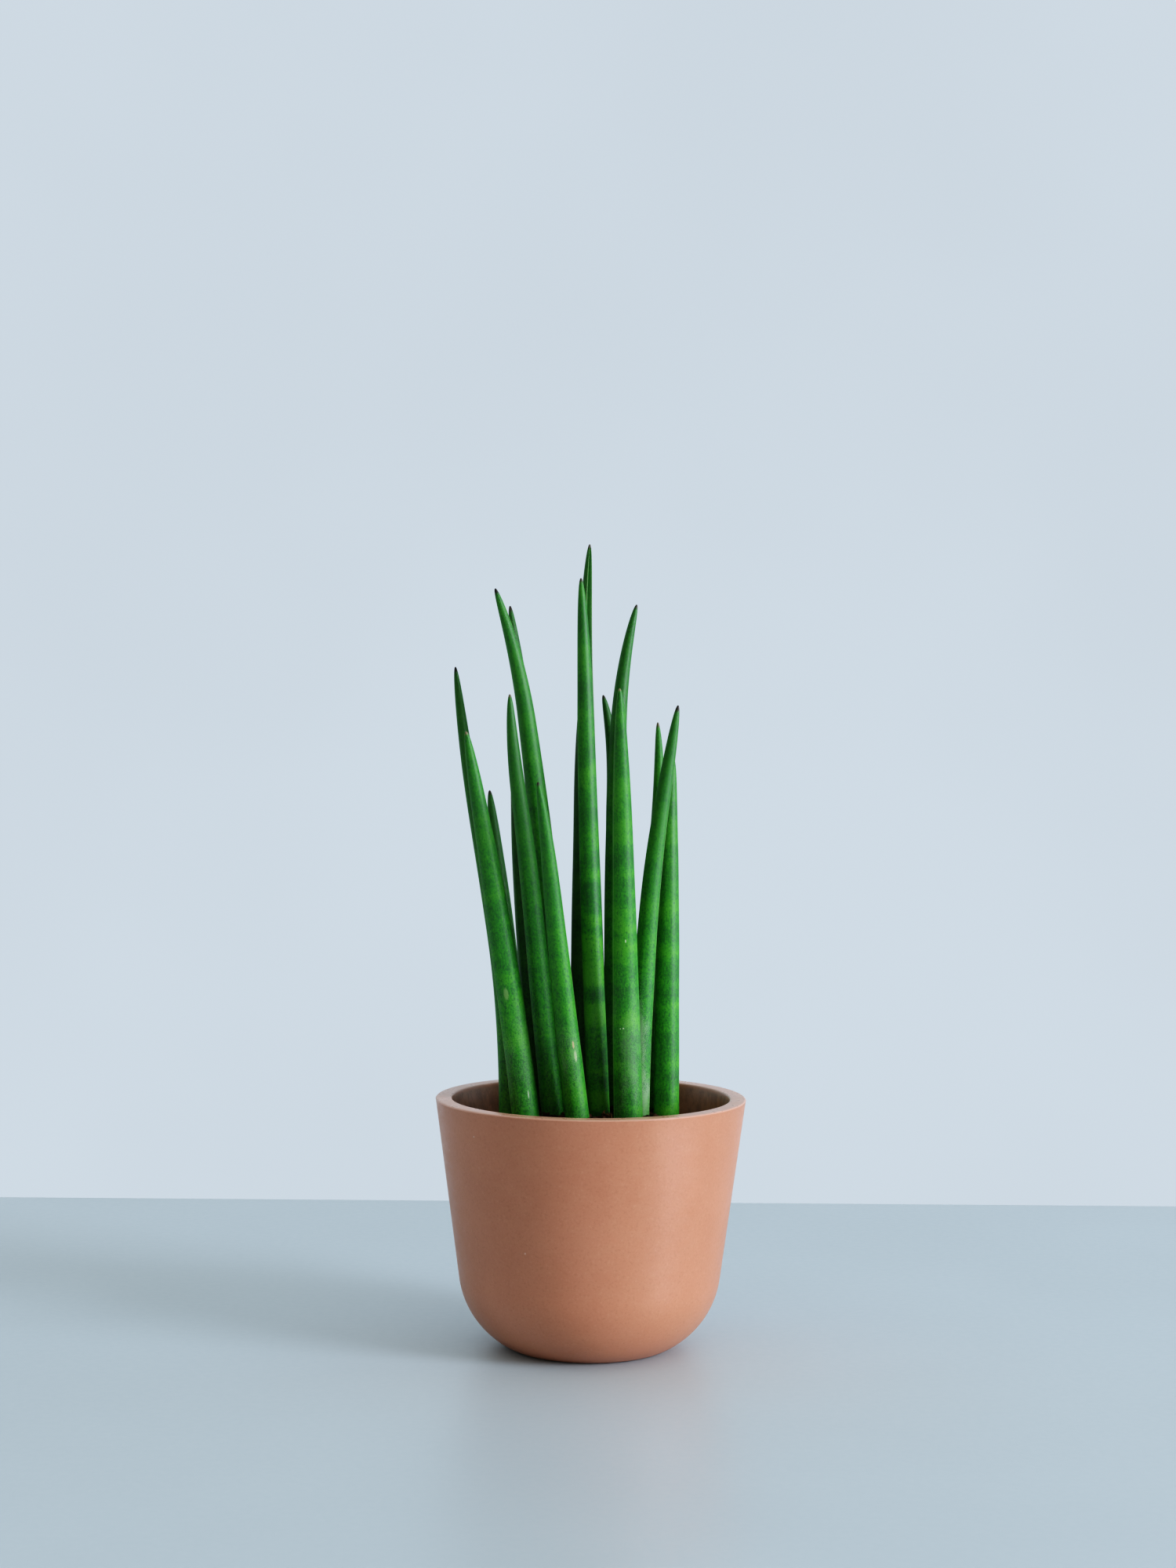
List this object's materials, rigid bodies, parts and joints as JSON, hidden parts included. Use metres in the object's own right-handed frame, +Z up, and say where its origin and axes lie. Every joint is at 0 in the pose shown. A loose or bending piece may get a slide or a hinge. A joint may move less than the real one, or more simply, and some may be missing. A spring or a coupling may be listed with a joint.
{
  "type": "potted snake plant",
  "caption": "Snake plant with slender round upright leaves in a tapered round terracotta pot with a rounded heel, a thick flat rim and dark potting soil.",
  "frame": {"origin": "on the pot's axis, at the surface its foot stands on", "axes": "+Z up; +X to the plant's right and +Y to its back, seen from the front"},
  "size_m": [0.145, 0.145, 0.378],
  "materials": {
    "pot_clay": "matte",
    "soil": "matte",
    "leaf": "satin",
    "rhizome": "matte"
  },
  "bodies": {
    "root": {"pot": "pot_clay", "potting_soil": "soil", "rhizome": "rhizome", "leaf_01": "leaf", "leaf_02": "leaf", "leaf_03": "leaf", "leaf_04": "leaf", "leaf_05": "leaf", "leaf_06": "leaf", "leaf_07": "leaf", "leaf_08": "leaf", "leaf_09": "leaf", "leaf_10": "leaf", "leaf_11": "leaf", "leaf_12": "leaf", "leaf_13": "leaf", "leaf_14": "leaf", "leaf_15": "leaf", "leaf_16": "leaf", "leaf_17": "leaf"}
  },
  "joints": []
}
